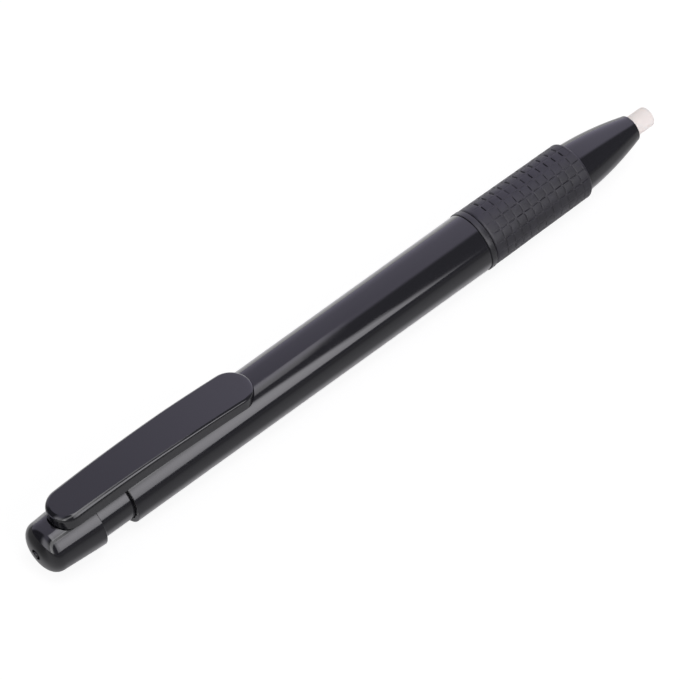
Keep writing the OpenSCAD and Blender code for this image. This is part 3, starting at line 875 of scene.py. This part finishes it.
def cap_end():
    """Outline of the cap's rear end, from its side over the dome and the recess to the nub."""
    dome_x = CAP_REAR + DOME_LEN
    pole_x = CAP_REAR + NUB_OUT
    recess_x = pole_x + RECESS_DEPTH
    dome = []
    for a in evenly(0, math.pi / 2, 40):
        r = CAP_END_R * math.cos(a) ** (2 / DOME_POWER)
        x = dome_x - (dome_x - pole_x) * math.sin(a) ** (2 / DOME_POWER)
        if r > RECESS_R + 0.12:
            dome.append((x, r))
    lip = [(pole_x + 0.01, RECESS_R + 0.06), (pole_x + 0.07, RECESS_R)]
    floor = [(recess_x, RECESS_R - 0.04), (recess_x, NUB_R + 0.03)]
    nub = [
        (CAP_REAR + 0.14, NUB_R),
        (CAP_REAR + 0.05, NUB_R - 0.06),
        (CAP_REAR + 0.01, NUB_R - 0.16),
        (CAP_REAR, 0.0),
    ]
    return dome + lip + floor + nub


def make_cap(materials):
    """Domed cap with a bore in two steps, and a notch for the clip's foot."""
    spigot_room_r = SPIGOT_R + CAP_ROOM
    plunger_room_r = PLUNGER_R + CAP_ROOM
    inside = [
        (CAP_FLOOR, 0.0),
        (CAP_FLOOR, spigot_room_r),
        (CAP_STEP, spigot_room_r),
        (CAP_STEP, plunger_room_r),
    ]
    rim = rounded(
        [
            (CAP_RIM - 3, plunger_room_r, 0.0),
            (CAP_RIM, plunger_room_r, 0.05),
            (CAP_RIM, CAP_RIM_R, CAP_EDGE),
            (CAP_REAR + DOME_LEN, CAP_END_R, 0.0),
        ]
    )[1:-1]
    points, faces = lathe(inside + rim + cap_end(), 256)
    cap = make_piece("push_button_cap", points, faces, "push_cap", materials)
    notch = obround(NOTCH_X, NOTCH_HALF, CAP_RIM + 1)
    boolean(cap, *prism(notch, 0, CAP_RIM_R + 2), "DIFFERENCE")
    cap.data.set_sharp_from_angle(angle=SHARP)


# Clip: its height above the axis, its width, the thickness of its sides and its bevel. Its round
# rear end reaches further back by CLIP_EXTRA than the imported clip's.
CLIP_EXTRA = 0.75
CLIP_REAR = ends("clip")[0] - CLIP_EXTRA
CLIP_CREST_AT = 13.5 + CLIP_EXTRA
CLIP_FALL = 1.53
CLIP_HALF = 3.82
CLIP_REAR_HALF = 3.5
CLIP_WIDEN = 26 + CLIP_EXTRA
CLIP_REAR_T = 2.8
CLIP_FRONT_T = 2.3
BEVEL_REAR = 0.85
BEVEL_FRONT = 0.5
BEVEL_FACING = math.radians(31)
CLIP_WALL = 1.0
CLIP_ROOF = 1.2
CLIP_PAD_LEN = 4.5
CLIP_ROOM = 0.14
CLIP_CROWN = 0.03
CLIP_CREST = (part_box("clip")[1].z - AXIS_Z) / MM - CLIP_CROWN
CLIP_REAR_MID = CLIP_REAR + CLIP_REAR_HALF
CLIP_FRONT_MID = CLIP_FRONT - CLIP_HALF
BOTTOM_EDGE = 0.04
FOOT_FRONT = CAP_RIM - 1.5
FOOT_HALF = 2.33
HOLLOW_REAR = FOOT_FRONT + 0.5
HOLLOW_FRONT = CLIP_FRONT - CLIP_PAD_LEN
PEG_X = CLIP_REAR + CLIP_EXTRA + 1.2
PEG_LEN = 3.0
PEG_HALF = 1.1


def clip_share(x):
    return (x - CLIP_REAR) / (CLIP_FRONT - CLIP_REAR)


def clip_top(x):
    length = CLIP_FRONT - CLIP_REAR
    return CLIP_CREST - CLIP_FALL * ((x - CLIP_REAR - CLIP_CREST_AT) / (length - CLIP_CREST_AT)) ** 2


def clip_side(x):
    return CLIP_REAR_HALF + (CLIP_HALF - CLIP_REAR_HALF) * min(1, (x - CLIP_REAR) / CLIP_WIDEN)


def clip_bevel(x):
    return BEVEL_FRONT + (BEVEL_REAR - BEVEL_FRONT) * (1 - clip_share(x)) ** 2


def clip_bottom(x):
    return clip_top(x) - CLIP_REAR_T - (CLIP_FRONT_T - CLIP_REAR_T) * clip_share(x)


def clear_radius(x):
    """Radius of the room that the blade leaves for the cap and the barrel under it."""
    if x < CAP_RIM + 0.3:
        share = (x - CAP_REAR) / (CAP_RIM - CAP_REAR)
        return CAP_END_R + (CAP_RIM_R - CAP_END_R) * share + 0.2
    share = (x - BARREL_REAR) / (BARREL_FRONT - BARREL_REAR)
    return BARREL_REAR_R + (BARREL_FRONT_R - BARREL_REAR_R) * max(0, share) + CLIP_ROOM


def blade_plan(inset):
    """Near half of the blade's outline drawn in by inset, from its rear end to its front end."""
    ring = []
    turns = evenly(0, math.pi / 2, 20)
    for a in turns:
        x = CLIP_REAR_MID - (CLIP_REAR_HALF - inset) * math.cos(a)
        ring.append((x, (clip_side(CLIP_REAR_MID) - inset) * math.sin(a)))
    for x in blade_stations():
        ring.append((x, clip_side(x) - inset))
    for a in reversed(turns):
        x = CLIP_FRONT_MID + (CLIP_HALF - inset) * math.cos(a)
        ring.append((x, (clip_side(CLIP_FRONT_MID) - inset) * math.sin(a)))
    return ring


def blade_stations():
    """Even stations between the round ends, with a close pair at each end of the hollow."""
    stations = evenly(CLIP_REAR_MID, CLIP_FRONT_MID, 40)[1:-1]
    for end in (HOLLOW_REAR, HOLLOW_FRONT):
        stations += [end - 0.05, end + 0.05]
    return sorted(x for x in stations if CLIP_REAR_MID < x < CLIP_FRONT_MID)


def edge_profile():
    """Side of the blade from its wall to its flat top, as pairs of inset and height from the top.

    Both count in widths of the bevel. A broad round leads from the wall to a narrow flat bevel,
    and a tight one from there to the top.
    """
    low_round = 1.18
    top_round = 0.35
    bevel = 0.29
    facing_sin = math.sin(BEVEL_FACING)
    facing_cos = math.cos(BEVEL_FACING)
    bevel_top = top_round * (facing_cos - 1)
    middle = bevel_top - bevel * facing_sin - low_round * facing_cos
    profile = []
    for a in evenly(math.pi / 2, BEVEL_FACING, 10):
        profile.append((low_round * (1 - math.sin(a)), middle + low_round * math.cos(a)))
    start = low_round * (1 - facing_sin) + bevel * facing_cos
    for a in evenly(BEVEL_FACING, 0, 5):
        reach = top_round * (facing_sin - math.sin(a))
        profile.append((start + reach, bevel_top + top_round * (math.cos(a) - facing_cos)))
    return profile


def clip_underside(x, y):
    """Height of the blade's underside: its bottom, the room for the barrel or the hollow."""
    height = clip_bottom(x)
    clear = clear_radius(x)
    if abs(y) < clear:
        height = max(height, math.sqrt(clear * clear - y * y))
    if HOLLOW_REAR < x < HOLLOW_FRONT and abs(y) < clip_side(x) - CLIP_WALL:
        height = max(height, clip_top(x) - CLIP_ROOF)
    return height


def inset_point(x, y, inset):
    """Point of the blade's outline (x, y) moved in by inset, square to the outline."""
    for middle, half, beyond in (
        (CLIP_REAR_MID, CLIP_REAR_HALF, x < CLIP_REAR_MID),
        (CLIP_FRONT_MID, CLIP_HALF, x > CLIP_FRONT_MID),
    ):
        if beyond:
            scale = 1 - inset / half
            return middle + (x - middle) * scale, y * scale
    return x, y - inset


def blade_levels():
    """Edges of the blade's near half, one above the other, from its underside to its flat top."""
    outer = blade_plan(0)
    low = blade_plan(BOTTOM_EDGE)
    levels = [[(x, y, max(clip_underside(x, y), 0)) for x, y in low]]
    for plan, rise in ((blade_plan(0.75 * BOTTOM_EDGE), 0.4), (outer, 1.1)):
        level = [(x, y, clip_underside(*base) + rise * BOTTOM_EDGE) for (x, y), base in zip(plan, low)]
        levels.append(level)
    for inset, height in edge_profile():
        level = []
        for (x, y), base in zip(outer, low):
            bevel = clip_bevel(x)
            plan_x, plan_y = inset_point(x, y, inset * bevel)
            floor = clip_underside(*base) + 1.2 * BOTTOM_EDGE
            level.append((plan_x, plan_y, max(floor, clip_top(plan_x) + height * bevel)))
        levels.append(level)
    return levels


def top_shares(x):
    """Places across the blade's top, as shares of its half width, at any station."""
    return [0.8, 0.6, 0.4, 0.2, 0, -0.2, -0.4, -0.6, -0.8]


def underside_shares(x):
    """Places across the blade's underside at station x, with a close pair at each of its walls."""
    half = clip_side(x) - BOTTOM_EDGE
    wall = clip_side(x) - CLIP_WALL
    shares = [0.93, 0.85, (wall + 0.04) / half, (wall - 0.04) / half, 0.55, 0.4, 0.25, 0.12]
    return shares + [0] + [-share for share in reversed(shares)]


def crown(x, y, half, z):
    """Height of the blade's slightly crowned top."""
    return z + CLIP_CROWN * (1 - (y / half) ** 2) * min(1, half / 2)


def make_blade():
    """Points and faces of the blade, with a rounded bevel all round and hollow underneath."""
    points, faces, rings = [], [], []

    def add(x, y, z):
        points.append((x, y, z))
        return len(points) - 1

    def fill(level, near, far, shares_at, height, flip):
        """Strips across the blade between the near and the far edge of a level."""
        rows = []
        for (x, half, z), start, end in zip(level, near, far):
            row = [start]
            for share in shares_at(x):
                y = -half * share
                row.append(start if half < 1e-9 else add(x, y, height(x, y, half, z)))
            rows.append(row + [end])
        for a, b in zip(rows, rows[1:]):
            for j in range(len(a) - 1):
                if flip:
                    add_face(faces, a[j], a[j + 1], b[j + 1], b[j])
                else:
                    add_face(faces, a[j], b[j], b[j + 1], a[j + 1])

    levels = blade_levels()
    for level in levels:
        near = [add(x, -y, z) for x, y, z in level]
        far = [near[i] if abs(y) < 1e-9 else add(x, y, z) for i, (x, y, z) in enumerate(level)]
        rings.append((near, far))
    for (near_a, far_a), (near_b, far_b) in zip(rings, rings[1:]):
        for i in range(len(near_a) - 1):
            add_face(faces, near_a[i], near_a[i + 1], near_b[i + 1], near_b[i])
            add_face(faces, far_a[i + 1], far_a[i], far_b[i], far_b[i + 1])
    fill(levels[-1], *rings[-1], top_shares, crown, False)
    fill(levels[0], *rings[0], underside_shares, lambda x, y, half, z: clip_underside(x, y), True)
    return points, faces


def make_clip(materials):
    """Blade with the foot that stands in the cap's notch, and the peg that snaps into the tube."""
    clip = make_piece("pocket_clip", *make_blade(), "clip", materials)
    foot = obround(NOTCH_X, FOOT_HALF, FOOT_FRONT)
    boolean(clip, *prism(foot, SPIGOT_R + 0.1, clip_top(NOTCH_X) - CLIP_ROOF / 2), "UNION")
    front = PEG_X + PEG_LEN
    peg = [(PEG_X, -PEG_HALF), (front, -PEG_HALF), (front, PEG_HALF), (PEG_X, PEG_HALF)]
    boolean(clip, *prism(peg, ERASER_R + 0.85, SPIGOT_R + 0.6), "UNION")
    clip.data.set_sharp_from_angle(angle=SHARP)


make_camera()
make_world()
make_lights()
make_floor()
MATERIALS = make_materials()
dress_nodes(MATERIALS)
make_barrel(MATERIALS)
make_collar(MATERIALS)
make_nose(MATERIALS)
make_eraser(MATERIALS)
make_grip(MATERIALS)
make_cap(MATERIALS)
make_clip(MATERIALS)

bpy.context.scene.view_settings.view_transform = "Standard"
